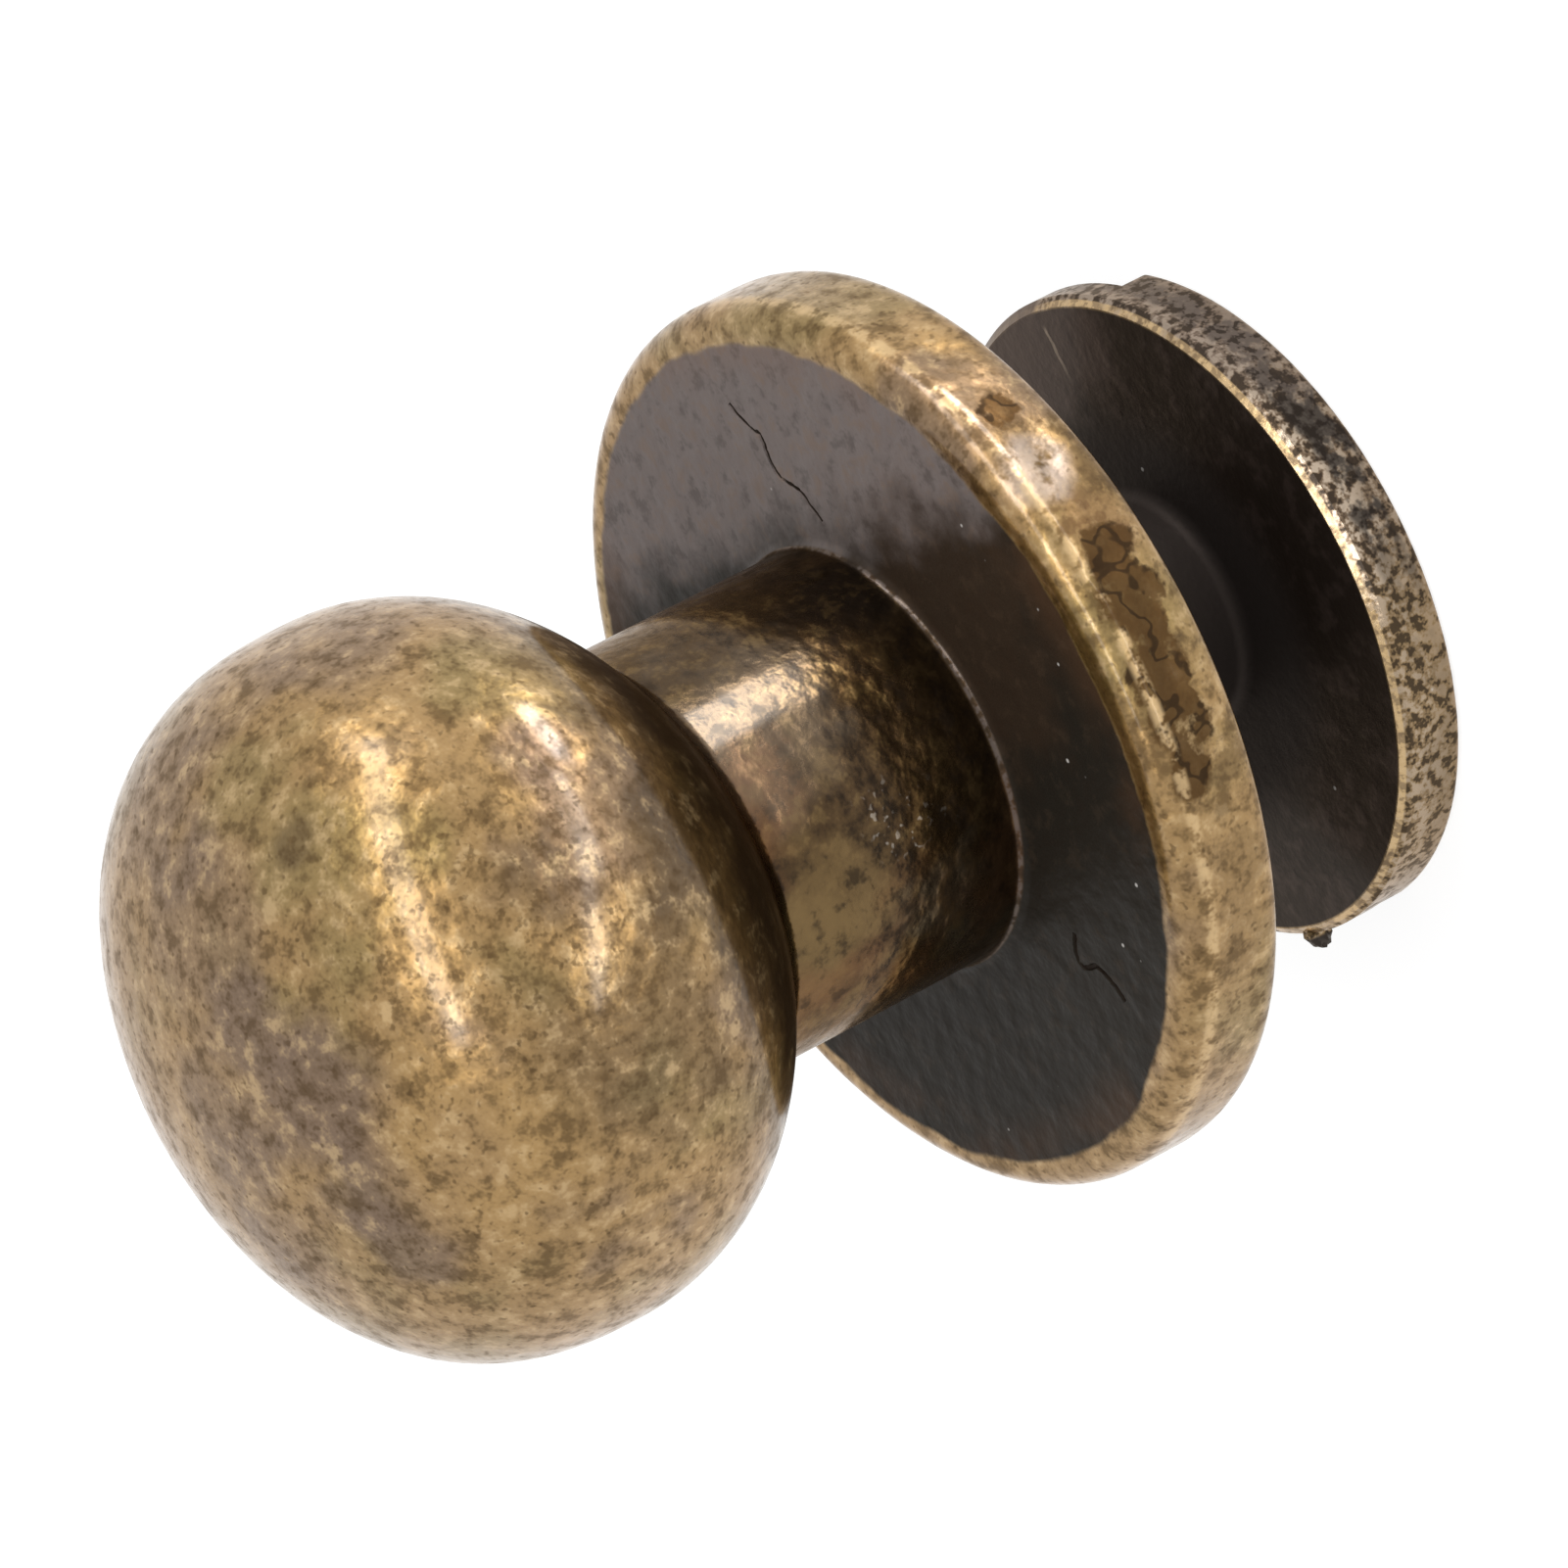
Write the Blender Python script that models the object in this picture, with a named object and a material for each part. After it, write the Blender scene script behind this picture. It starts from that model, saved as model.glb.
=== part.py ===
"""Ball-head screw-back stud, in metres, standing on the slotted head of its screw with +Z along the axis.

Two pieces: a turned stud (ball, neck and round flange with a blind hole from behind) and the slotted screw
that clamps a strap against the flange. The screw is backed out, so a gap is open between the two.
"""

import math

import bmesh
import bpy

MM = 0.001

# Facets. The hole and the shank share one count and one start, so their facets stay parallel.
SEGMENTS = 72
ROUND_STEPS = 4
BALL_STEPS = 15

# Ball: slightly flattened, and fuller in front than a true ellipse.
BALL_RADIUS = 3.94 * MM
BALL_FRONT = 3.18 * MM
BALL_BACK = 3.05 * MM
BALL_FULLNESS = 2.6

# Neck, from the flange's front face to the widest ring of the ball.
NECK_RADIUS = 2.35 * MM
NECK_REACH = 5.49 * MM
NECK_TOP_FILLET = 0.25 * MM
NECK_BASE_FILLET = 0.12 * MM

# Flange, with a broad rounded front edge and a tighter one behind.
FLANGE_RADIUS = 5.0 * MM
FLANGE_THICKNESS = 1.2 * MM
FRONT_EDGE_WIDTH = 0.34 * MM
FRONT_EDGE_DROP = 0.38 * MM
BACK_EDGE_WIDTH = 0.14 * MM
BACK_EDGE_DROP = 0.26 * MM

# Screw: a plain shank at the thread's outer diameter.
SHANK_RADIUS = 1.5 * MM
SHANK_ENGAGED = 2.8 * MM
SHANK_TIP_CHAMFER = 0.3 * MM
SHANK_ROOT_FILLET = 0.15 * MM

# The screw's head: a thin disc, cast a little to one side of the shank. A full-width slot leaves a web.
HEAD_RADIUS = 3.65 * MM
HEAD_OFFSET = 0.15 * MM
HEAD_FACE_CHAMFER = 0.1 * MM
HEAD_BACK_ROUND = 0.12 * MM
SLOT_WIDTH = 1.9 * MM
SLOT_DEPTH = 0.4 * MM
WEB_THICKNESS = 0.4 * MM

# The stub that the casting's gate left on the web's rim, beside the slot's middle line.
STUB_RADIUS = 0.17 * MM
STUB_REACH = 0.24 * MM
STUB_SHIFT = 0.1 * MM
STUB_SEGMENTS = 12
STUB_RINGS = 8

# Gap for the strap, and the threaded hole with its clearance round the shank.
STRAP_GAP = 2.75 * MM
THREAD_CLEARANCE = 0.08 * MM
HOLE_SPARE_DEPTH = 0.75 * MM
HOLE_MOUTH_CHAMFER = 0.3 * MM
DRILL_POINT_DEG = 118.0

# Halvings in the search for the point where the ball's back meets its fillet: enough for full precision.
SEARCH_STEPS = 50
# How far the slot's cutter reaches past the head at each end.
CUTTER_SPARE = 0.5 * MM

MERGE = 1e-7
SHARP_DEG = 32.0

# Antique brass: the stud is worn to a warmer tone than the screw.
STUD_COLOUR = (0.32, 0.22, 0.09, 1.0)
STUD_ROUGHNESS = 0.38
SCREW_COLOUR = (0.14, 0.10, 0.06, 1.0)
SCREW_ROUGHNESS = 0.45
BRASS_METALLIC = 0.85

HEAD_THICKNESS = SLOT_DEPTH + WEB_THICKNESS


def clear_scene():
    for obj in list(bpy.data.objects):
        bpy.data.objects.remove(obj, do_unlink=True)


def brass(name, colour, roughness):
    material = bpy.data.materials.new(name)
    material.use_nodes = True
    shader = material.node_tree.nodes["Principled BSDF"]
    shader.inputs["Base Color"].default_value = colour
    shader.inputs["Metallic"].default_value = BRASS_METALLIC
    shader.inputs["Roughness"].default_value = roughness
    return material


def arc(centre, width, height, start_deg, end_deg):
    """Points of an elliptic arc about centre, in the (radius, height) plane."""
    points = []
    for i in range(ROUND_STEPS + 1):
        turn = math.radians(start_deg + (end_deg - start_deg) * i / ROUND_STEPS)
        points.append((centre[0] + width * math.cos(turn), centre[1] + height * math.sin(turn)))
    return points


def cove(wall_radius, floor, size):
    """A concave quarter circle from a wall down onto the flat at its foot."""
    return arc((wall_radius + size, floor + size), size, size, 180, 270)


def ball_front():
    """The ball from its apex to its widest ring, heights counted from that ring."""
    points = [(0.0, BALL_FRONT)]
    for i in range(1, BALL_STEPS + 1):
        turn = math.pi / 2 * i / BALL_STEPS
        height = math.cos(turn) ** (2 / BALL_FULLNESS) if i < BALL_STEPS else 0.0
        points.append((BALL_RADIUS * math.sqrt(1 - height**BALL_FULLNESS), BALL_FRONT * height))
    return points


def ball_back(turn):
    """A point of the ball behind its widest ring, and the outward normal there."""
    normal = (math.cos(turn) / BALL_RADIUS, -math.sin(turn) / BALL_BACK)
    size = math.hypot(*normal)
    point = (BALL_RADIUS * math.cos(turn), -BALL_BACK * math.sin(turn))
    return point, (normal[0] / size, normal[1] / size)


def ball_back_and_fillet():
    """The back of the ball down to a fillet that is tangent to it and to the neck."""
    low, high = 0.0, math.pi / 2
    for _ in range(SEARCH_STEPS):
        middle = (low + high) / 2
        point, normal = ball_back(middle)
        if point[0] + NECK_TOP_FILLET * normal[0] > NECK_RADIUS + NECK_TOP_FILLET:
            low = middle
        else:
            high = middle
    points = [ball_back(low * i / BALL_STEPS)[0] for i in range(1, BALL_STEPS)]
    point, normal = ball_back(low)
    centre = (point[0] + NECK_TOP_FILLET * normal[0], point[1] + NECK_TOP_FILLET * normal[1])
    start = math.degrees(math.atan2(-normal[1], -normal[0]))
    return points + arc(centre, NECK_TOP_FILLET, NECK_TOP_FILLET, start, 180)


def hole_outline():
    """The blind hole from its chamfered mouth at height 0 up to the drill's point on the axis."""
    radius = SHANK_RADIUS + THREAD_CLEARANCE
    depth = SHANK_ENGAGED + STRAP_GAP + HOLE_SPARE_DEPTH
    point = radius / math.tan(math.radians(DRILL_POINT_DEG / 2))
    mouth = (radius + HOLE_MOUTH_CHAMFER, 0.0)
    return [mouth, (radius, HOLE_MOUTH_CHAMFER), (radius, depth), (0.0, depth + point)]


def stud_outline():
    """The stud's half section from the ball's apex down its outer side and back up the hole."""
    front = FLANGE_THICKNESS
    ring = front + NECK_REACH
    points = [(r, ring + z) for r, z in ball_front() + ball_back_and_fillet()]
    points += cove(NECK_RADIUS, front, NECK_BASE_FILLET)
    edge = (FLANGE_RADIUS - FRONT_EDGE_WIDTH, front - FRONT_EDGE_DROP)
    points += arc(edge, FRONT_EDGE_WIDTH, FRONT_EDGE_DROP, 90, 0)
    edge = (FLANGE_RADIUS - BACK_EDGE_WIDTH, BACK_EDGE_DROP)
    points += arc(edge, BACK_EDGE_WIDTH, BACK_EDGE_DROP, 0, -90)
    return points + hole_outline()


def shank_outline():
    """The shank's half section from the middle of its tip down to the foot of its fillet."""
    tip = HEAD_THICKNESS + STRAP_GAP + SHANK_ENGAGED
    points = [(0.0, tip), (SHANK_RADIUS - SHANK_TIP_CHAMFER, tip), (SHANK_RADIUS, tip - SHANK_TIP_CHAMFER)]
    return points + cove(SHANK_RADIUS, HEAD_THICKNESS, SHANK_ROOT_FILLET)


def head_outline():
    """The head's half section from the outside of its face down to the middle of its back."""
    points = [(HEAD_RADIUS - HEAD_FACE_CHAMFER, HEAD_THICKNESS)]
    points += [(HEAD_RADIUS, HEAD_THICKNESS - HEAD_FACE_CHAMFER)]
    edge = (HEAD_RADIUS - HEAD_BACK_ROUND, HEAD_BACK_ROUND)
    points += arc(edge, HEAD_BACK_ROUND, HEAD_BACK_ROUND, 0, -90)
    return points + [(0.0, 0.0)]


def mesh_object(name, shape):
    """An object from a bmesh, shaded smooth with its true corners kept sharp."""
    bmesh.ops.recalc_face_normals(shape, faces=shape.faces)
    mesh = bpy.data.meshes.new(name)
    shape.to_mesh(mesh)
    shape.free()
    mesh.shade_smooth()
    mesh.set_sharp_from_angle(angle=math.radians(SHARP_DEG))
    obj = bpy.data.objects.new(name, mesh)
    bpy.context.scene.collection.objects.link(obj)
    return obj


def turned(outline):
    """A bmesh of revolution about Z from a half section that starts and ends on the axis."""
    shape = bmesh.new()
    points = [shape.verts.new((radius, 0.0, height)) for radius, height in outline]
    edges = [shape.edges.new(pair) for pair in zip(points, points[1:])]
    bmesh.ops.spin(
        shape,
        geom=points + edges,
        axis=(0, 0, 1),
        cent=(0, 0, 0),
        angle=2 * math.pi,
        steps=SEGMENTS,
        use_merge=True,
    )
    bmesh.ops.remove_doubles(shape, verts=shape.verts, dist=MERGE)
    return shape


def ball_stud():
    stud = mesh_object("ball_stud", turned(stud_outline()))
    stud.location.z = HEAD_THICKNESS + STRAP_GAP
    stud.data.materials.append(brass("stud_brass", STUD_COLOUR, STUD_ROUGHNESS))
    return stud


def shape_tool(name, shape, place):
    """A hidden object that only cuts or joins another one."""
    tool = mesh_object(name, shape)
    tool.location = place
    tool.hide_render = True
    tool.display_type = "WIRE"
    return tool


def slot_cutter():
    """A block along X through the head's back, longer than the head and reaching below it."""
    shape = bmesh.new()
    bmesh.ops.create_cube(shape, size=1.0)
    length = 2 * (HEAD_RADIUS + STUB_REACH + CUTTER_SPARE)
    bmesh.ops.scale(shape, vec=(length, SLOT_WIDTH, 2 * SLOT_DEPTH), verts=shape.verts)
    return shape_tool("slot_cutter", shape, (-HEAD_OFFSET, 0, 0))


def gate_stub():
    """A rounded stub centred on the web's rim, so that half of it stands out past the rim."""
    shape = bmesh.new()
    bmesh.ops.create_uvsphere(shape, u_segments=STUB_SEGMENTS, v_segments=STUB_RINGS, radius=1.0)
    bmesh.ops.scale(shape, vec=(STUB_REACH, STUB_RADIUS, STUB_RADIUS), verts=shape.verts)
    rim = math.sqrt(HEAD_RADIUS**2 - STUB_SHIFT**2)
    height = SLOT_DEPTH + WEB_THICKNESS / 2
    return shape_tool("gate_stub", shape, (-HEAD_OFFSET - rim, STUB_SHIFT, height))


def combine(obj, tool, operation):
    modifier = obj.modifiers.new(tool.name, "BOOLEAN")
    modifier.operation = operation
    modifier.object = tool
    modifier.solver = "EXACT"


def slotted_screw():
    """One turned outline whose head is then moved off the shank's axis, with the slot and the stub."""
    shape = turned(shank_outline() + head_outline())
    foot = SHANK_RADIUS + SHANK_ROOT_FILLET + MERGE
    head = [v for v in shape.verts if math.hypot(v.co.x, v.co.y) > foot]
    bmesh.ops.translate(shape, verts=head, vec=(-HEAD_OFFSET, 0, 0))
    screw = mesh_object("slotted_screw", shape)
    screw.data.materials.append(brass("screw_brass", SCREW_COLOUR, SCREW_ROUGHNESS))
    combine(screw, gate_stub(), "UNION")
    combine(screw, slot_cutter(), "DIFFERENCE")
    return screw


def main():
    clear_scene()
    ball_stud()
    slotted_screw()


main()
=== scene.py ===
# %% [markdown]
# # A ball-head stud in antique brass
#
# The stud holds leather straps. It is two pieces of brass, a turned stud and a slotted screw, and the screw
# is backed out of the stud so that a gap is open between them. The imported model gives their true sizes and
# their motion. This lesson makes the fine surface over it: rounder turned skins, the screw's thread, two
# cracks, and an antique finish that is dark where the metal is sheltered and golden where it rubs.
#
# # %% marks a cell, so the file can be read and run step by step as a notebook.

# %% The frame
import math

import bmesh
import bpy
from mathutils import Euler, Matrix, Vector


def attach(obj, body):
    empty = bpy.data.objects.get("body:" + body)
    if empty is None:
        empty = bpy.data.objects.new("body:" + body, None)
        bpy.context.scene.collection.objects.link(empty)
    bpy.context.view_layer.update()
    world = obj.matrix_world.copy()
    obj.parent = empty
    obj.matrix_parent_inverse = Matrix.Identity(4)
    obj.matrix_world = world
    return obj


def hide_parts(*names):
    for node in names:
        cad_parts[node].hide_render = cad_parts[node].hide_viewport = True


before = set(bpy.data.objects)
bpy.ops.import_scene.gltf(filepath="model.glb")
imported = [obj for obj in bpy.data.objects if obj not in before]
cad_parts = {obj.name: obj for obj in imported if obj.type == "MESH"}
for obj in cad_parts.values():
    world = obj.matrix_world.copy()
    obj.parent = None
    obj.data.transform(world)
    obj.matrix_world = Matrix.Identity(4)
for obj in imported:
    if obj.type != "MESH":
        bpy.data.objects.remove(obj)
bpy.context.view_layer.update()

# %% [markdown]
# ## The camera
#
# A photograph is easiest to compare with when the camera stands where the real one stood. Its place was
# worked out from the rings of the stud, which show as ellipses: their slant gives the direction, and how
# much the ball outgrows the flange gives the distance. The long lens keeps the perspective weak. The
# picture was taken with the stud on its side, so the camera is rolled until the ball points down and to the
# left.

# %% Camera
MM = 0.001
PHOTO_SIDE = 1601
FARTHEST = 5.0
FOCAL_PIXELS = 12000
CAMERA_PLACE = Vector((15.81, -104.34, 64.59)) * MM
LOOKS_DOWN_DEG = 29.086
HEADING_DEG = 98.511
ROLL_DEG = -117.212


def photo_camera():
    data = bpy.data.cameras.new("photo_camera")
    data.sensor_fit = "HORIZONTAL"
    data.lens = data.sensor_width * FOCAL_PIXELS / PHOTO_SIDE
    data.clip_start = MM
    data.clip_end = FARTHEST
    camera = bpy.data.objects.new("photo_camera", data)
    bpy.context.scene.collection.objects.link(camera)
    level = Euler((math.radians(90 - LOOKS_DOWN_DEG), 0, math.radians(HEADING_DEG - 90)))
    roll = Euler((0, 0, math.radians(ROLL_DEG)))
    camera.matrix_world = level.to_matrix().to_4x4() @ roll.to_matrix().to_4x4()
    camera.location = CAMERA_PLACE
    bpy.context.scene.camera = camera
    return camera


photo_camera()
print("lens", round(bpy.context.scene.camera.data.lens, 1), "mm")

# %% [markdown]
# ## Writing nodes as sums
#
# Both Geometry Nodes and materials are node trees. Clicked together by hand they are hard to read, and so
# are long runs of new-node calls. Here an output socket is wrapped in a small class whose arithmetic adds
# the Math nodes, so a mask can be written as 1 - near_edge * wear. Any other node comes from one method,
# add, which sets the node's settings first and fills its sockets next.


# %% Sockets with arithmetic
class Wire:
    """An output socket. Arithmetic on it adds Math nodes to its tree."""

    def __init__(self, nodes, socket):
        self.nodes = nodes
        self.socket = socket

    def __add__(self, other):
        return self.nodes.maths("ADD", self, other)

    def __sub__(self, other):
        return self.nodes.maths("SUBTRACT", self, other)

    def __rsub__(self, other):
        return self.nodes.maths("SUBTRACT", other, self)

    def __mul__(self, other):
        return self.nodes.maths("MULTIPLY", self, other)

    def __truediv__(self, other):
        return self.nodes.maths("DIVIDE", self, other)

    def __rtruediv__(self, other):
        return self.nodes.maths("DIVIDE", other, self)

    __radd__ = __add__
    __rmul__ = __mul__


class Nodes:
    """A node tree to which nodes are added as calls and expressions."""

    def __init__(self, tree):
        self.tree = tree

    def add(self, kind, settings=None, inputs=None, output=0):
        """A node of that kind: its settings are set first, then its sockets take values or wires."""
        node = self.tree.nodes.new(kind)
        for name, value in (settings or {}).items():
            setattr(node, name, value)
        for name, value in (inputs or {}).items():
            if isinstance(value, Wire):
                self.tree.links.new(value.socket, node.inputs[name])
            else:
                node.inputs[name].default_value = value
        return Wire(self, node.outputs[output])

    def maths(self, operation, *values):
        return self.add("ShaderNodeMath", {"operation": operation}, dict(enumerate(values)))

    def between(self, value, low, high):
        """0 below low and 1 above high, smooth between them. Low may be the greater of the two."""
        inputs = {0: value, 1: low, 2: high, 3: 0.0, 4: 1.0}
        return self.add("ShaderNodeMapRange", {"interpolation_type": "SMOOTHSTEP"}, inputs)

    def split(self, vector):
        node = self.add("ShaderNodeSeparateXYZ", None, {0: vector}).socket.node
        return [Wire(self, socket) for socket in node.outputs]


# %% [markdown]
# ## Starting and ending a geometry tree
#
# The stud needs two trees, one that turns an outline and one that lays a crack. Both begin with named
# inputs and end alike: instances are made real and the material is set, or the export would drop them. The
# object that carries a tree is only a mould. Its result is taken off as a plain mesh, and the mould goes.


# %% Trees and their results
def start_tree(name, inputs, result):
    """An empty tree with those inputs. Gives its nodes, and a wire for each input by name."""
    tree = bpy.data.node_groups.new(name, "GeometryNodeTree")
    for label, kind, value in inputs:
        socket = tree.interface.new_socket(label, in_out="INPUT", socket_type="NodeSocket" + kind)
        if value is not None:
            socket.default_value = value
    tree.interface.new_socket(result, in_out="OUTPUT", socket_type="NodeSocketGeometry")
    nodes = Nodes(tree)
    given = tree.nodes.new("NodeGroupInput").outputs
    return nodes, {socket.name: Wire(nodes, socket) for socket in given if socket.name}


def end_tree(nodes, shape, finish):
    shape = nodes.add("GeometryNodeRealizeInstances", None, {"Geometry": shape})
    shape = nodes.add("GeometryNodeSetMaterial", None, {"Geometry": shape, "Material": finish})
    nodes.tree.links.new(shape.socket, nodes.tree.nodes.new("NodeGroupOutput").inputs[0])
    return nodes.tree


def link(name, mesh):
    obj = bpy.data.objects.new(name, mesh)
    bpy.context.scene.collection.objects.link(obj)
    return obj


def plain(obj, name):
    """The evaluated object as a plain mesh object of its own. The source object goes."""
    graph = bpy.context.evaluated_depsgraph_get()
    mesh = bpy.data.meshes.new_from_object(obj.evaluated_get(graph))
    mesh.name = name
    bpy.data.objects.remove(obj, do_unlink=True)
    return link(name, mesh)


def moulded(name, data, tree, sizes):
    """What the tree makes of the data, as a plain mesh with its faces outwards. Sizes are inputs by name."""
    obj = link(name, data)
    modifier = obj.modifiers.new(tree.name, "NODES")
    modifier.node_group = tree
    for socket in tree.interface.items_tree:
        if socket.in_out == "INPUT" and socket.name in sizes:
            modifier[socket.identifier] = sizes[socket.name]
    result = plain(obj, name)
    shape = bmesh.new()
    shape.from_mesh(result.data)
    bmesh.ops.recalc_face_normals(shape, faces=shape.faces)
    shape.to_mesh(result.data)
    shape.free()
    return result


print("ready for geometry trees")

# %% [markdown]
# ## Turned skins and a thread from one tree
#
# A lathe turns an outline about an axis. So does this tree: it makes a grid with one row for each point of
# the outline and one column for each step round the axis, and a formula puts each point in its place.
# Blender's Screw modifier does the same, but a formula can do more. With a rise for each turn the same tree
# winds a small ridge up the shank as a thread, and a noise pushes the skin in by a few thousandths of a
# millimetre, as on a casting that was only tumbled and never ground.

# %% The turning tree
TURN_INPUTS = (
    ("Outline", "Geometry", None),
    ("Lanes", "Int", 96),
    ("Turns", "Float", 1.0),
    ("Rise", "Float", 0.0),
    ("Run out", "Float", 0.0),
    ("Root radius", "Float", 0.0),
    ("Start height", "Float", 0.0),
    ("Unevenness", "Float", 0.0),
    ("Lumps per metre", "Float", 1000.0),
    ("Finish", "Material", None),
)
WELD = 0.5e-6
LUMP_DETAIL = 2.0


def wound(nodes, entry):
    """The grid of a turned skin, and the place of each of its points."""
    rows = nodes.add("GeometryNodeAttributeDomainSize", {"component": "MESH"}, {0: entry["Outline"]})
    steps = nodes.maths("ROUND", entry["Lanes"] * entry["Turns"])
    grid = nodes.add("GeometryNodeMeshGrid", None, {"Vertices X": rows, "Vertices Y": steps + 1})
    index = nodes.add("GeometryNodeInputIndex")
    row = nodes.maths("FLOOR", index / (steps + 1))
    step = index - row * (steps + 1)

    corner = nodes.add("GeometryNodeInputPosition")
    settings = {"data_type": "FLOAT_VECTOR", "domain": "POINT"}
    inputs = {"Geometry": entry["Outline"], "Value": corner, "Index": row}
    radius, _, height = nodes.split(nodes.add("GeometryNodeSampleIndex", settings, inputs))
    run_out = entry["Run out"] * entry["Lanes"]
    ramp = nodes.maths("MINIMUM", step, steps - step) / nodes.maths("MAXIMUM", run_out, 1.0)
    fade = 1 - nodes.maths("GREATER_THAN", run_out, 0.0) * (1 - nodes.maths("MINIMUM", ramp, 1.0))
    radius = entry["Root radius"] + (radius - entry["Root radius"]) * fade
    height = entry["Start height"] + height * fade + entry["Rise"] * step / entry["Lanes"]
    turn = step * (2 * math.pi) / entry["Lanes"]
    inputs = {0: radius * nodes.maths("COSINE", turn), 1: radius * nodes.maths("SINE", turn), 2: height}
    return grid, nodes.add("ShaderNodeCombineXYZ", None, inputs)


def turning_tree():
    nodes, entry = start_tree("turn outline", TURN_INPUTS, "Skin")
    grid, place = wound(nodes, entry)
    skin = nodes.add("GeometryNodeSetPosition", None, {"Geometry": grid, "Position": place})
    skin = nodes.add("GeometryNodeMergeByDistance", None, {"Geometry": skin, "Distance": WELD})
    here = nodes.add("GeometryNodeInputPosition")
    inputs = {"Vector": here, "Scale": entry["Lumps per metre"], "Detail": LUMP_DETAIL}
    lump = nodes.add("ShaderNodeTexNoise", None, inputs)
    inputs = {0: nodes.add("GeometryNodeInputNormal"), "Scale": lump * entry["Unevenness"] * -1}
    push = nodes.add("ShaderNodeVectorMath", {"operation": "SCALE"}, inputs)
    skin = nodes.add("GeometryNodeSetPosition", None, {"Geometry": skin, "Offset": push})
    skin = nodes.add("GeometryNodeSetShadeSmooth", None, {"Geometry": skin})
    return end_tree(nodes, skin, entry["Finish"])


def turned(name, outline, sizes):
    """A skin turned from an outline of (radius, height) points."""
    mesh = bpy.data.meshes.new(name)
    points = [(radius, 0.0, height) for radius, height in outline]
    mesh.from_pydata(points, [(i, i + 1) for i in range(len(points) - 1)], [])
    return moulded(name, mesh, TURNING, sizes)


TURNING = turning_tree()
print("turning tree:", len(TURNING.nodes), "nodes")

# %% [markdown]
# ## The stud's outline
#
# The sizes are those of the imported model. The ball isn't a true sphere: it is a little flattened, and
# fuller in front. The flange has a broad round edge in front, where a strap rubs, and a tight one behind.
# The rounds get many more points here than in the model, and long straight runs are cut up too, so that
# dents and unevenness have points to move.

# %% Outline of the stud
BALL_RADIUS = 3.94 * MM
BALL_FRONT = 3.18 * MM
BALL_BACK = 3.05 * MM
BALL_FULLNESS = 2.6
NECK_RADIUS = 2.35 * MM
NECK_REACH = 5.49 * MM
NECK_TOP_FILLET = 0.25 * MM
NECK_BASE_FILLET = 0.12 * MM
FLANGE_RADIUS = 5.0 * MM
FLANGE_BACK = 3.55 * MM
FLANGE_FRONT = 4.75 * MM
FRONT_EDGE = Vector((0.34, 0.38)) * MM
BACK_EDGE = Vector((0.14, 0.26)) * MM
HOLE_RADIUS = 1.58 * MM
HOLE_MOUTH = 0.3 * MM
HOLE_DEPTH = 6.3 * MM
DRILL_POINT_DEG = 118
ROUND_STEPS = 10
BALL_STEPS = 44
STUD_LANES = 288
LONGEST_RUN = 0.1 * MM


def arc(centre, width, height, start_deg, end_deg):
    """Points of an elliptic arc about centre."""
    steps = range(ROUND_STEPS + 1)
    turns = [math.radians(start_deg + (end_deg - start_deg) * i / ROUND_STEPS) for i in steps]
    return [(centre[0] + width * math.cos(turn), centre[1] + height * math.sin(turn)) for turn in turns]


def cove(wall_radius, floor, size):
    """A concave quarter circle from a wall down onto the flat at its foot."""
    return arc((wall_radius + size, floor + size), size, size, 180, 270)


def ball_front():
    """From the apex to the widest ring, heights counted from that ring."""
    points = []
    for i in range(BALL_STEPS):
        turn = math.pi / 2 * i / BALL_STEPS
        points.append((BALL_RADIUS * math.sin(turn), BALL_FRONT * math.cos(turn) ** (2 / BALL_FULLNESS)))
    return points + [(BALL_RADIUS, 0.0)]


def ball_back(turn):
    """A point of the ball behind its widest ring, and the outward normal there."""
    point = Vector((BALL_RADIUS * math.cos(turn), -BALL_BACK * math.sin(turn)))
    normal = Vector((math.cos(turn) / BALL_RADIUS, -math.sin(turn) / BALL_BACK)).normalized()
    return point, normal


def ball_back_and_fillet():
    """The back of the ball down to a fillet that is tangent to it and to the neck."""
    low, high = 0.0, math.pi / 2
    while high - low > 1e-9:
        middle = (low + high) / 2
        point, normal = ball_back(middle)
        if point.x + NECK_TOP_FILLET * normal.x > NECK_RADIUS + NECK_TOP_FILLET:
            low = middle
        else:
            high = middle
    points = [ball_back(low * i / BALL_STEPS)[0][:] for i in range(1, BALL_STEPS)]
    point, normal = ball_back(low)
    start = math.degrees(math.atan2(-normal.y, -normal.x))
    return points + arc(point + NECK_TOP_FILLET * normal, NECK_TOP_FILLET, NECK_TOP_FILLET, start, 180)


def hole_outline():
    """The blind hole from its chamfered mouth up to the drill's point on the axis."""
    top = FLANGE_BACK + HOLE_DEPTH
    point = HOLE_RADIUS / math.tan(math.radians(DRILL_POINT_DEG / 2))
    mouth = [(HOLE_RADIUS + HOLE_MOUTH, FLANGE_BACK), (HOLE_RADIUS, FLANGE_BACK + HOLE_MOUTH)]
    return mouth + [(HOLE_RADIUS, top), (0.0, top + point)]


def in_short_runs(outline):
    """The same outline with points added, so that none of its runs is longer than LONGEST_RUN."""
    points = [outline[0]]
    for end in outline[1:]:
        start = Vector(points[-1])
        count = math.ceil((Vector(end) - start).length / LONGEST_RUN)
        points += [start.lerp(Vector(end), i / count)[:] for i in range(1, count + 1)]
    return points


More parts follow.
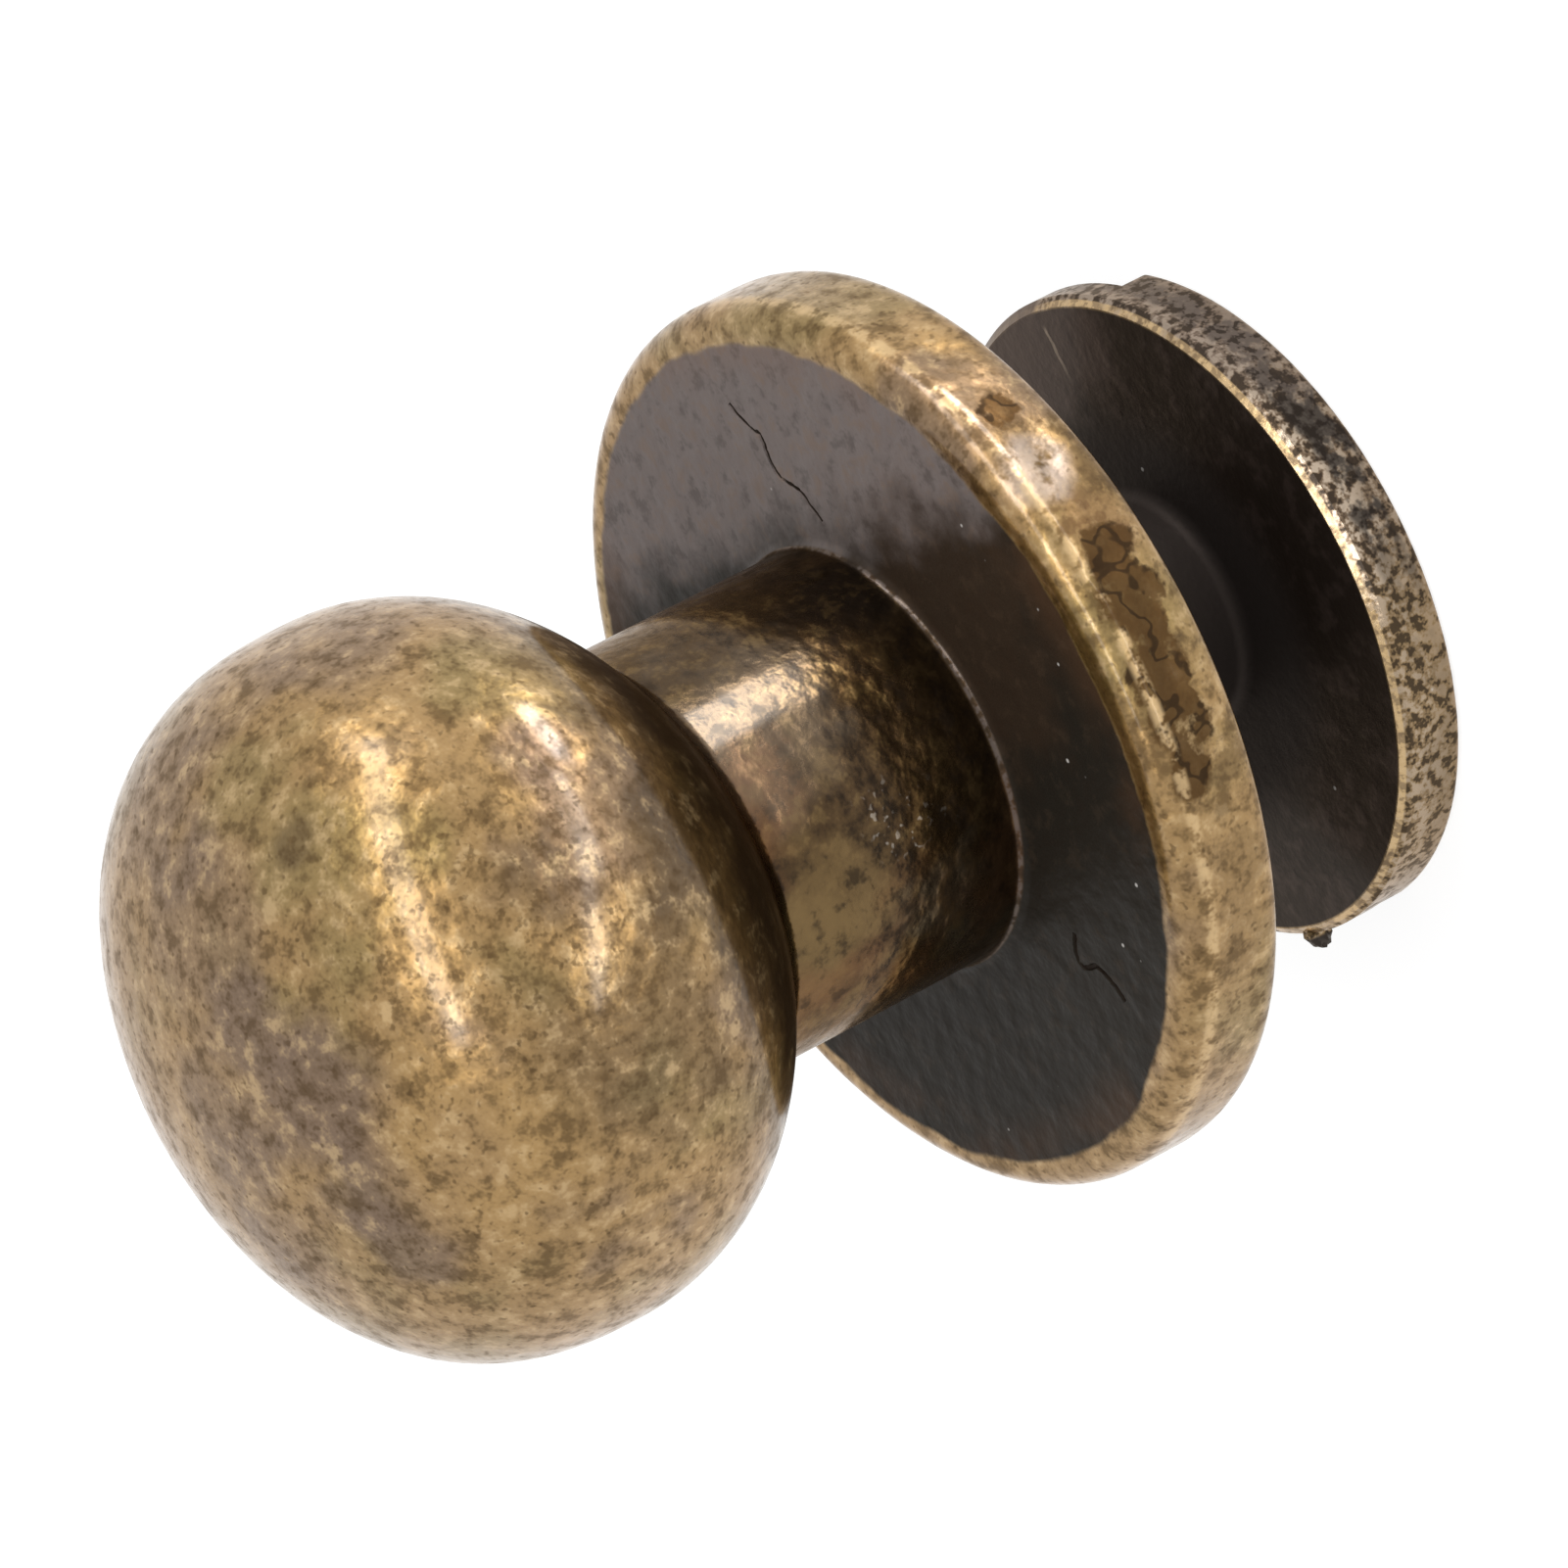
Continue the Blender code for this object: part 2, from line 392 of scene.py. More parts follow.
def stud_outline():
    ring = FLANGE_FRONT + NECK_REACH
    points = [(radius, ring + height) for radius, height in ball_front() + ball_back_and_fillet()]
    points += cove(NECK_RADIUS, FLANGE_FRONT, NECK_BASE_FILLET)
    points += arc((FLANGE_RADIUS - FRONT_EDGE.x, FLANGE_FRONT - FRONT_EDGE.y), *FRONT_EDGE, 90, 0)
    points += arc((FLANGE_RADIUS - BACK_EDGE.x, FLANGE_BACK + BACK_EDGE.y), *BACK_EDGE, 0, -90)
    return in_short_runs(points) + hole_outline()


print("stud outline:", len(stud_outline()), "points")

# %% [markdown]
# ## Dents in the rim
#
# The flange's rim took a few knocks, and the casting left hollows in it. Each is a soft hollow at a named
# angle round the rim and a height. Sculpting by hand would do it too, but a short list can be read and
# changed. The dirt that fills them comes later, in the finish.

# %% Stud skin with its dents
STUD_UNEVEN = 0.012 * MM
STUD_LUMPS = 700.0
# Angle round the axis in degrees, height, length round the rim, width and depth in millimetres.
RIM_DENTS = (
    (-39, 4.10, 0.34, 0.16, 0.035),
    (-58, 4.05, 0.42, 0.20, 0.030),
    (-74, 4.22, 0.14, 0.34, 0.060),
    (-80, 4.00, 0.30, 0.16, 0.040),
    (-88, 4.18, 0.40, 0.18, 0.045),
    (-98, 4.05, 0.34, 0.20, 0.035),
    (-112, 4.20, 0.26, 0.14, 0.030),
    (28, 4.05, 0.45, 0.18, 0.035),
    (95, 4.15, 0.36, 0.20, 0.040),
    (171, 4.00, 0.50, 0.16, 0.030),
)


def press_dents(mesh):
    """Moves the rim's points inwards under each dent."""
    for vert in mesh.vertices:
        radius = math.hypot(vert.co.x, vert.co.y)
        if radius < FLANGE_RADIUS - FRONT_EDGE.x or vert.co.z > FLANGE_FRONT:
            continue
        angle = math.degrees(math.atan2(vert.co.y, vert.co.x))
        inward = 0.0
        for at_deg, height, length, width, depth in RIM_DENTS:
            round_rim = math.radians((angle - at_deg + 180) % 360 - 180) * radius
            reach = math.hypot(round_rim / (length * MM), (vert.co.z - height * MM) / (width * MM))
            inward += depth * MM * math.exp(-2 * reach**2)
        vert.co.xy *= 1 - inward / radius


stud_sizes = {"Lanes": STUD_LANES, "Unevenness": STUD_UNEVEN, "Lumps per metre": STUD_LUMPS}
stud = turned("stud_skin", stud_outline(), stud_sizes)
press_dents(stud.data)
print("stud skin:", len(stud.data.polygons), "faces")

# %% [markdown]
# ## Two cracks in the flange
#
# The flat of the flange has two fine cracks, where the casting shrank. A crack drawn by a material would
# vanish in the exported mesh, so it is cut as a groove. A short list of points gives its course. A second
# node tree resamples it, lets a noise push it from side to side, and sweeps a round section along it that
# thins out to the ends.

# %% The crack tree
CRACK_WIDTH = 0.075 * MM
CRACK_STEP = 0.03 * MM
CRACK_WANDER = 0.05 * MM
CRACK_SIDES = 6
CRACK_INPUTS = (
    ("Course", "Geometry", None),
    ("Width", "Float", None),
    ("Step", "Float", None),
    ("Wander", "Float", None),
    ("Finish", "Material", None),
)
SWINGS_PER_METRE = 6000.0
SWELLS_PER_METRE = 9000.0
# Shares of the width: how much a noise adds, the least between the ends, and what is left at the tips.
SWELL = 1.2
THINNEST = 0.3
TIP = 0.05
# Places on the flange's front face, in millimetres.
CRACKS = (
    ((3.96, -0.01), (3.68, -0.18), (3.59, -0.36), (3.33, -0.31), (3.11, -0.38), (2.92, -0.64), (2.57, -0.81)),
    ((-2.21, -2.27), (-2.48, -2.13), (-2.57, -2.20), (-2.56, -2.41), (-2.82, -2.64), (-2.98, -2.68)),
)


def crack_tree():
    nodes, entry = start_tree("crack worm", CRACK_INPUTS, "Worm")
    inputs = {"Curve": entry["Course"], "Length": entry["Step"]}
    course = nodes.add("GeometryNodeResampleCurve", {"mode": "LENGTH"}, inputs)
    here = nodes.add("GeometryNodeInputPosition")
    inputs = {"Vector": here, "Scale": SWINGS_PER_METRE, "Detail": 2.0}
    swing = nodes.add("ShaderNodeTexNoise", None, inputs, "Color")
    middle = nodes.add("ShaderNodeVectorMath", {"operation": "SUBTRACT"}, {0: swing, 1: (0.5, 0.5, 0.5)})
    inputs = {0: middle, "Scale": entry["Wander"] * 2}
    push = nodes.add("ShaderNodeVectorMath", {"operation": "SCALE"}, inputs)
    course = nodes.add("GeometryNodeSetPosition", None, {"Geometry": course, "Offset": push})

    along = nodes.add("GeometryNodeSplineParameter", output="Factor")
    taper = nodes.maths("POWER", along * (1 - along) * 4, 0.5)
    rough = nodes.add("ShaderNodeTexNoise", None, {"Vector": here, "Scale": SWELLS_PER_METRE})
    radius = taper * (rough * SWELL + THINNEST) + TIP
    course = nodes.add("GeometryNodeSetCurveRadius", None, {"Curve": course, "Radius": radius})
    inputs = {"Resolution": CRACK_SIDES, "Radius": entry["Width"] / 2}
    section = nodes.add("GeometryNodeCurvePrimitiveCircle", {"mode": "RADIUS"}, inputs)
    inputs = {"Curve": course, "Profile Curve": section, "Fill Caps": True}
    worm = nodes.add("GeometryNodeCurveToMesh", None, inputs)
    return end_tree(nodes, worm, entry["Finish"])


CRACKING = crack_tree()


def crack_worm(name, course):
    data = bpy.data.curves.new(name, "CURVE")
    data.dimensions = "3D"
    spline = data.splines.new("POLY")
    spline.points.add(len(course) - 1)
    for point, (x, y) in zip(spline.points, course):
        point.co = (x * MM, y * MM, FLANGE_FRONT - STUD_UNEVEN / 2, 1)
    sizes = {"Width": CRACK_WIDTH, "Step": CRACK_STEP, "Wander": CRACK_WANDER}
    return moulded(name, data, CRACKING, sizes)


print("crack tree:", len(CRACKING.nodes), "nodes")

# %% [markdown]
# ## Cutting the cracks
#
# A Boolean takes each swept worm out of the stud. The exact solver is fussy: where a worm crosses itself it
# may leave nothing at all, so the result is looked at before the lesson goes on.

# %% Cut the cracks
CORNER_DEG = 35


def combined(obj, tools):
    """The object after a chain of Booleans, as a plain mesh. Tools are (object, operation) pairs and go."""
    for tool, operation in tools:
        modifier = obj.modifiers.new(tool.name, "BOOLEAN")
        modifier.operation = operation
        modifier.object = tool
        modifier.solver = "EXACT"
    result = plain(obj, obj.name)
    for tool, _ in tools:
        bpy.data.objects.remove(tool, do_unlink=True)
    if not result.data.polygons:
        raise ValueError(f"the Booleans left nothing of {result.name}")
    return result


def smooth_with_corners(mesh):
    mesh.shade_smooth()
    mesh.set_sharp_from_angle(angle=math.radians(CORNER_DEG))


worms = [crack_worm(f"crack_{i}", course) for i, course in enumerate(CRACKS)]
stud = combined(stud, [(worm, "DIFFERENCE") for worm in worms])
smooth_with_corners(stud.data)
print("stud with cracks:", len(stud.data.polygons), "faces")

# %% [markdown]
# ## The screw
#
# Core and head of the screw are one turned outline, as they would be on a lathe. The head was really cast,
# a little to one side of the shank, so its outer points move over when the screw is put together.

# %% Outline of the screw
HEAD_RADIUS = 3.65 * MM
HEAD_THICKNESS = 0.8 * MM
HEAD_OFFSET = 0.15 * MM
FACE_CHAMFER = 0.1 * MM
BACK_ROUND = 0.12 * MM
SHANK_TOP = 6.35 * MM
ROOT_FILLET = 0.15 * MM
CORE_RADIUS = 1.23 * MM
TIP_CHAMFER = 0.2 * MM


def screw_outline():
    tip = [(0.0, SHANK_TOP), (CORE_RADIUS - TIP_CHAMFER, SHANK_TOP), (CORE_RADIUS, SHANK_TOP - TIP_CHAMFER)]
    points = tip + cove(CORE_RADIUS, HEAD_THICKNESS, ROOT_FILLET)
    points += [(HEAD_RADIUS - FACE_CHAMFER, HEAD_THICKNESS), (HEAD_RADIUS, HEAD_THICKNESS - FACE_CHAMFER)]
    points += arc((HEAD_RADIUS - BACK_ROUND, BACK_ROUND), BACK_ROUND, BACK_ROUND, 0, -90)
    return in_short_runs(points + [(0.0, 0.0)])


print("screw outline:", len(screw_outline()), "points")

# %% [markdown]
# ## The thread
#
# The thread shows in the gap, where a bump in the material would leave its outline straight. It is the
# turning tree again, with a flat-topped ridge as the outline, a rise of one pitch for each turn, and ends
# that run out.

# %% Thread
PITCH = 0.5 * MM
THREAD_RADIUS = 1.5 * MM
THREAD_SINK = 0.03 * MM
CREST_FLAT = 0.06 * MM
FLANK_DEG = 30
RUN_OUT_TURNS = 0.6
THREAD_LANES = 72


def thread_ridge():
    """A ridge with both flanks at 30 degrees, wound up the core. Its foot is sunk a little into the core."""
    foot = CORE_RADIUS - THREAD_SINK
    half_foot = CREST_FLAT / 2 + (THREAD_RADIUS - foot) * math.tan(math.radians(FLANK_DEG))
    outline = [(foot, -half_foot), (THREAD_RADIUS, -CREST_FLAT / 2), (THREAD_RADIUS, CREST_FLAT / 2)]
    outline += [(foot, half_foot), (foot, -half_foot)]
    start = HEAD_THICKNESS + ROOT_FILLET + PITCH / 2
    turns = (SHANK_TOP - TIP_CHAMFER - half_foot - start) / PITCH
    sizes = {"Lanes": THREAD_LANES, "Turns": turns, "Rise": PITCH, "Run out": RUN_OUT_TURNS}
    return turned("thread", outline, sizes | {"Root radius": foot, "Start height": start})


print("thread:", round((THREAD_RADIUS - CORE_RADIUS) / MM, 2), "mm deep")

# %% [markdown]
# ## The slot and the stub
#
# The slot runs right across the back of the head, so its cutter is a long bar, with flared lips where a
# screwdriver wore the edges. The gate through which the brass ran in left a torn little stub on the thin web
# under the slot. A ball with its points drawn in by waves is torn enough at that size.

# %% Slot and stub
SLOT_WIDTH = 1.9 * MM
SLOT_DEPTH = 0.4 * MM
SLOT_LIP = 0.04 * MM
STUB_RADIUS = 0.17 * MM
STUB_REACH = 0.24 * MM
STUB_SHIFT = 0.1 * MM
# How deep each wave tears the stub, as a share of its size, how close the waves are and where they start.
TEARS_ALONG_Y = (0.16, 5, 1)
TEARS_ALONG_Z = (0.12, 7, 0)


def slot_cutter():
    """A bar along X whose sides flare at the slot's mouth."""
    half, lip = SLOT_WIDTH / 2, SLOT_LIP
    section = [(half, SLOT_DEPTH), (half, lip), (half + lip, 0), (half + lip, -HEAD_THICKNESS)]
    section += [(-y, z) for y, z in reversed(section)]
    shape = bmesh.new()
    reach = HEAD_RADIUS + HEAD_THICKNESS
    rings = [[shape.verts.new((end - HEAD_OFFSET, y, z)) for y, z in section] for end in (-reach, reach)]
    for ring in rings:
        shape.faces.new(ring)
    for i in range(len(section)):
        shape.faces.new((rings[0][i - 1], rings[0][i], rings[1][i], rings[1][i - 1]))
    bmesh.ops.recalc_face_normals(shape, faces=shape.faces)
    mesh = bpy.data.meshes.new("slot")
    shape.to_mesh(mesh)
    shape.free()
    return link("slot", mesh)


def gate_stub():
    """The torn stub of the casting's gate: a lumpy little ball half sunk in the web's rim."""
    shape = bmesh.new()
    bmesh.ops.create_icosphere(shape, subdivisions=3, radius=1.0)
    rim = math.sqrt(HEAD_RADIUS**2 - STUB_SHIFT**2)
    centre = Vector((-HEAD_OFFSET - rim, STUB_SHIFT, (SLOT_DEPTH + HEAD_THICKNESS) / 2))
    for vert in shape.verts:
        torn = 1.0
        for along, (share, waves, start) in ((vert.co.y, TEARS_ALONG_Y), (vert.co.z, TEARS_ALONG_Z)):
            torn -= share * abs(math.sin(along * waves + start))
        size = Vector((STUB_REACH, STUB_RADIUS, STUB_RADIUS)) * torn
        vert.co = centre + Vector(a * b for a, b in zip(vert.co, size))
    mesh = bpy.data.meshes.new("gate_stub")
    shape.to_mesh(mesh)
    shape.free()
    return link("gate_stub", mesh)


print("slot:", round(SLOT_WIDTH / MM, 2), "mm wide, stub:", round(STUB_REACH / MM, 2), "mm long")

# %% [markdown]
# ## Putting the screw together
#
# Points near the shank stay where they are and those of the head's outer half move over in full, so the face
# stays flat and the rim round. Then one chain of Booleans takes out the slot and joins the stub and the
# thread.

# %% Screw
HEAD_LANES = 240
SCREW_UNEVEN = 0.008 * MM
SCREW_LUMPS = 1200.0


def slotted_screw():
    sizes = {"Lanes": HEAD_LANES, "Unevenness": SCREW_UNEVEN, "Lumps per metre": SCREW_LUMPS}
    screw = turned("screw_skin", screw_outline(), sizes)
    foot = CORE_RADIUS + ROOT_FILLET
    for vert in screw.data.vertices:
        share = (vert.co.xy.length - foot) / (HEAD_RADIUS / 2 - foot)
        vert.co.x -= HEAD_OFFSET * min(max(share, 0.0), 1.0)
    tools = [(slot_cutter(), "DIFFERENCE"), (gate_stub(), "UNION"), (thread_ridge(), "UNION")]
    return combined(screw, tools)


screw = slotted_screw()
smooth_with_corners(screw.data)
print("screw skin:", len(screw.data.polygons), "faces")

# %% [markdown]
# ## Painting a surface in layers
#
# An antique finish is made in layers: the brass is blackened in a bath, and then tumbling takes the dark
# skin off the places that stand proud. The Finish class works in the same order. It starts from one kind of
# surface, and each layer covers what is below it where its mask is 1. Masks are sums over the place on the
# piece in millimetres, so a region can be named by its height or its radius, and a stain by its place.
# Every region and patch has its edge frayed by one and the same noise, so that none of them ends in a clean
# line.

# %% Layers of finish
EDGE_TINT = (0.75, 0.62, 0.50, 1.0)
COAT_ROUGHNESS = 0.14
SPECULAR_LEVEL = 0.12
# How far a patch and a speck are solid, as a share of their reach, before they fade out.
PATCH_CORE = 0.45
SPECK_CORE = 0.5
# The sockets for low, high and the result of a Mix node, by the kind of data it mixes.
MIX_SOCKETS = {"FLOAT": (2, 3, 0), "RGBA": (6, 7, 2)}


class Finish(Nodes):
    """A material that is painted layer by layer. All places and sizes in it are millimetres."""

    def __init__(self, name, colour, metal, rough, coat, fray):
        self.material = bpy.data.materials.new(name)
        self.material.use_nodes = True
        super().__init__(self.material.node_tree)
        self.tree.nodes.clear()
        self.colour = self.paint(colour)
        self.metal, self.rough, self.coat = metal, rough, coat
        place = self.add("ShaderNodeTexCoord", output="Object")
        self.here = self.add("ShaderNodeVectorMath", {"operation": "SCALE"}, {0: place, "Scale": 1 / MM})
        self.x, self.y, self.z = self.split(self.here)
        self.radius = self.maths("SQRT", self.x * self.x + self.y * self.y)
        self.fray = self.clouds(**fray) - 0.5

    def paint(self, colour):
        """A colour given as three numbers, made ready for a socket. Wires pass through."""
        return colour if isinstance(colour, Wire) else (*colour, 1.0)

    def mix(self, kind, low, high, share):
        """All low where the share is 0 and all high where it is 1."""
        first, second, result = MIX_SOCKETS[kind]
        inputs = {0: share, first: low, second: high}
        return self.add("ShaderNodeMix", {"data_type": kind}, inputs, result)

    def layer(self, mask, colour=None, metal=None, rough=None, coat=None):
        if colour is not None:
            self.colour = self.mix("RGBA", self.colour, self.paint(colour), mask)
        if metal is not None:
            self.metal = self.mix("FLOAT", self.metal, metal, mask)
        if rough is not None:
            self.rough = self.mix("FLOAT", self.rough, rough, mask)
        if coat is not None:
            self.coat = self.mix("FLOAT", self.coat, coat, mask)

    def within(self, value, start, full, still, end):
        """0 at the start, 1 from full to still, and 0 again at the end."""
        return self.between(value, start, full) * self.between(value, end, still)

    def clouds(self, per_mm, detail=2.0, seed=0.0, rough=0.5):
        """Soft lumps between 0 and 1, so many for each millimetre. Each seed gives its own pattern."""
        inputs = {"Vector": self.here, "W": seed, "Scale": per_mm, "Detail": detail, "Roughness": rough}
        return self.add("ShaderNodeTexNoise", {"noise_dimensions": "4D"}, inputs)

    def specks(self, per_mm, size, share):
        """Small round dots, with a random share of the cells holding one."""
        cell = self.add("ShaderNodeTexVoronoi", None, {"Vector": self.here, "Scale": per_mm})
        chance = self.split(Wire(self, cell.socket.node.outputs["Color"]))[0]
        return self.between(cell, size, size * SPECK_CORE) * self.maths("LESS_THAN", chance, share)

    def near(self, place, reach, ragged=0.6):
        """A patch about a place. The noise in fray, from -0.5 to 0.5, makes its edge ragged."""
        settings = {"operation": "DISTANCE"}
        gap = self.add("ShaderNodeVectorMath", settings, {0: self.here, 1: place}, "Value")
        return self.between(gap + self.fray * (2 * ragged * reach), reach, reach * PATCH_CORE)

    def finished(self, relief):
        """Joins the layers in one shader. The relief is a height in millimetres."""
        bump = self.add("ShaderNodeBump", None, {"Height": relief, "Strength": 1.0, "Distance": MM})
        values = {"Base Color": self.colour, "Metallic": self.metal, "Roughness": self.rough}
        values |= {"Coat Weight": self.coat, "Coat Roughness": COAT_ROUGHNESS}
        values |= {"Specular IOR Level": SPECULAR_LEVEL, "Specular Tint": EDGE_TINT, "Normal": bump}
        shader = self.add("ShaderNodeBsdfPrincipled", None, values)
        self.tree.links.new(shader.socket, self.tree.nodes.new("ShaderNodeOutputMaterial").inputs[0])
        return self.material


# %% [markdown]
# ## The golden brass
#
# The ball and the rim rubbed golden, and their brass is mottled with what is left of the dark skin. The
# back of the ball, towards the neck, is darkened with painted shade. Mauve, olive and darker patches lie at
# their own places, as on the real stud. A painted image would do this too, but noise has no seam and never
# runs out of detail.
#
# Colours are linear values, as a socket takes them, so 0.2 shows as a middle grey.

# %% Golden brass of the ball and the rim
DARK_BRASS = (0.075, 0.042, 0.015)
MID_BRASS = (0.33, 0.20, 0.072)
PALE_BRASS = (0.62, 0.43, 0.21)
OLIVE = (0.25, 0.17, 0.055)
MAUVE = (0.172, 0.108, 0.066)
GOLD = (0.42, 0.255, 0.088)
DEEP_SHADE = (0.030, 0.017, 0.009)

# Place, reach, colour and strength.
BALL_PATCHES = (
    ((1.70, -0.78, 13.12), 1.4, MAUVE, 0.55),
    ((3.06, 0.06, 12.46), 1.2, MAUVE, 0.55),
    ((-0.21, -1.85, 13.12), 1.1, MAUVE, 0.9),
    ((-1.2, -1.81, 13.0), 0.9, MAUVE, 0.85),
    ((0.67, -1.17, 13.27), 0.8, MAUVE, 0.85),
    ((-1.92, -1.70, 12.81), 0.8, MAUVE, 0.8),
    ((-0.26, -0.19, 13.41), 0.9, MAUVE, 0.5),
    ((-1.79, 0.13, 13.14), 1.0, MAUVE, 0.5),
    ((2.07, -2.29, 12.44), 0.9, OLIVE, 0.8),
    ((2.20, -2.10, 12.40), 0.35, DARK_BRASS, 0.5),
    ((2.88, -1.33, 12.36), 0.7, OLIVE, 0.7),
    ((2.81, -2.69, 9.78), 1.0, OLIVE, 0.6),
    ((0.61, -3.71, 9.33), 0.9, DARK_BRASS, 0.6),
    ((0.10, -3.90, 9.9), 0.5, DARK_BRASS, 0.55),
    ((-0.5, -3.56, 9.0), 0.7, DARK_BRASS, 0.6),
    ((-1.21, -2.90, 12.39), 1.4, GOLD, 0.6),
    ((-0.82, -3.84, 10.61), 1.4, DARK_BRASS, 0.52),
    ((0.95, -3.80, 10.79), 0.7, DARK_BRASS, 0.5),
    ((0.75, -3.69, 9.35), 0.8, DARK_BRASS, 0.55),
    ((2.13, -3.31, 10.2), 0.6, MAUVE, 0.7),
)


def paint_golden_brass(finish):
    height, tone, fray = finish.z, finish.tone, finish.fray
    finish.layer(finish.between(finish.broad, 0.48, 0.62) * 0.8, OLIVE)
    finish.layer(finish.between(finish.broad, 0.46, 0.34) * 0.7, MAUVE)
    for place, reach, colour, strength in BALL_PATCHES:
        finish.layer(finish.near(place, reach) * strength, colour)
    on_ball = finish.between(height, 6.8, 7.0)
    # Painted shade: the back of the ball is darkened towards the neck.
    under = finish.between(height + fray * 1.6, 9.9, 8.6) * on_ball
    finish.layer(under * 0.7, DARK_BRASS, rough=0.42)

    finish.layer(finish.between(tone, 0.53, 0.35) * 0.68, DARK_BRASS, rough=0.42, coat=0.2)
    finish.layer(finish.between(tone, 0.52, 0.68) * 0.5, PALE_BRASS, rough=0.28, coat=1.0)
    finish.layer(finish.between(finish.grain, 0.42, 0.26) * 0.6, DARK_BRASS, rough=0.46, coat=0.2)
    flecks = finish.clouds(7.0, detail=2.5, seed=23.0, rough=0.65)
    pitted = finish.near((0.9, -3.5, 11.4), 2.2, 0.5) * finish.between(flecks, 0.47, 0.36)
    finish.layer(pitted * 0.6, DARK_BRASS, rough=0.46, coat=0.2)
    # Painted shade, deepest where the ball turns in to the neck.
    deep = finish.between(height + fray * 0.9 + (tone - 0.5) * 0.5, 8.95, 8.5) * on_ball
    finish.layer(deep * 0.9, DEEP_SHADE, rough=0.5, coat=0.1)


print("patches on the ball:", len(BALL_PATCHES))

# %% [markdown]
# ## The neck
#
# The neck lies in a strap's slit, so it is brown and glossy rather than golden. Its highest part has a
# glossier coat and a painted highlight, its foot is darkened with painted shade, and a thin painted highlight
# runs along the fillet where the neck meets the flange.

# %% Brown gloss of the neck
NECK_BROWN = (0.055, 0.031, 0.012)
NECK_GOLD = (0.17, 0.108, 0.042)
# Painted highlight colour for the neck's shiny spot.
NECK_PAINTED_HIGHLIGHT = (0.17, 0.125, 0.080)
RUST = (0.19, 0.085, 0.035)
SOOT = (0.016, 0.011, 0.008)
OLIVE_GREY = (0.10, 0.085, 0.055)
PALE_GREY = (0.56, 0.50, 0.43)
# Grey skin lightened by painted light: the flat's lit side and the neck's foot line.
LIT_GREY_SKIN = (0.150, 0.124, 0.116)

# Place, reach, colour and strength.
NECK_PATCHES = (
    ((-1.34, -1.93, 5.73), 0.7, OLIVE_GREY, 0.75),
    ((-1.84, -1.46, 5.31), 0.6, OLIVE_GREY, 0.6),
    ((-0.75, -2.22, 7.12), 0.9, NECK_GOLD, 0.6),
    ((-1.23, -2.00, 7.46), 0.8, NECK_GOLD, 0.6),
    ((0.69, -2.24, 7.37), 0.6, RUST, 0.4),
    # Painted shade low on the neck, by the flange.
    ((1.96, -1.29, 5.26), 0.8, SOOT, 0.7),
)


def paint_neck(finish):
    height, tone = finish.z, finish.tone
    on_neck = finish.between(height, 8.05, 7.75) * finish.between(finish.radius, 3.2, 2.9)
    finish.layer(on_neck * 0.95, NECK_BROWN, metal=0.92, rough=0.22, coat=0.2)
    for place, reach, colour, strength in NECK_PATCHES:
        finish.layer(finish.near(place, reach, 0.9) * on_neck * strength, colour)
    finish.layer(on_neck * finish.between(tone, 0.51, 0.64) * 0.5, NECK_GOLD)
    finish.layer(on_neck * finish.between(finish.broad, 0.5, 0.6) * 0.4, RUST)
    finish.layer(on_neck * finish.between(tone, 0.51, 0.35) * 0.65, SOOT, rough=0.4, coat=0.1)

    scuffs = finish.near((-0.3, -2.32, 6.1), 0.6, 1.2) * finish.between(finish.grain, 0.60, 0.68)
    finish.layer(scuffs * on_neck * 0.35, PALE_GREY)
    # Glossier coat, and a painted highlight: the colour is lightened where the neck shines.
    gloss_and_painted_highlight = finish.near((1.26, -1.98, 7.12), 1.3) * on_neck
    finish.layer(gloss_and_painted_highlight * 0.35, NECK_PAINTED_HIGHLIGHT, coat=0.9)
    # Painted shade: the neck darkens down to the flange.
    painted_shade_at_foot = finish.between(height + finish.fray * 0.8, 5.9, 4.8) * on_neck
    finish.layer(painted_shade_at_foot * 0.45, SOOT, rough=0.4)
    # Painted highlight: a thin pale line along the fillet at the neck's foot.
    foot = finish.within(height, 4.775, 4.79, 4.82, 4.84) * on_neck
    finish.layer(foot * finish.between(tone, 0.46, 0.54) * 0.45, LIT_GREY_SKIN, rough=0.3)


print("patches on the neck:", len(NECK_PATCHES))

# %% [markdown]
# ## The flat of the flange
#
# Nothing could rub the flat, so it kept its dull dark skin. It is lighter on the +X side, partly as its own
# greyer skin and partly as painted light from that side. A skin like that is no metal to the eye: its metal
# value is 0 and it has no coat. The cracks are found by their depth under the flat and get soot.

# %% Dull skin of the flat
GREEN_BLACK = (0.015, 0.0125, 0.0095)
FLAT_EDGE = 4.6


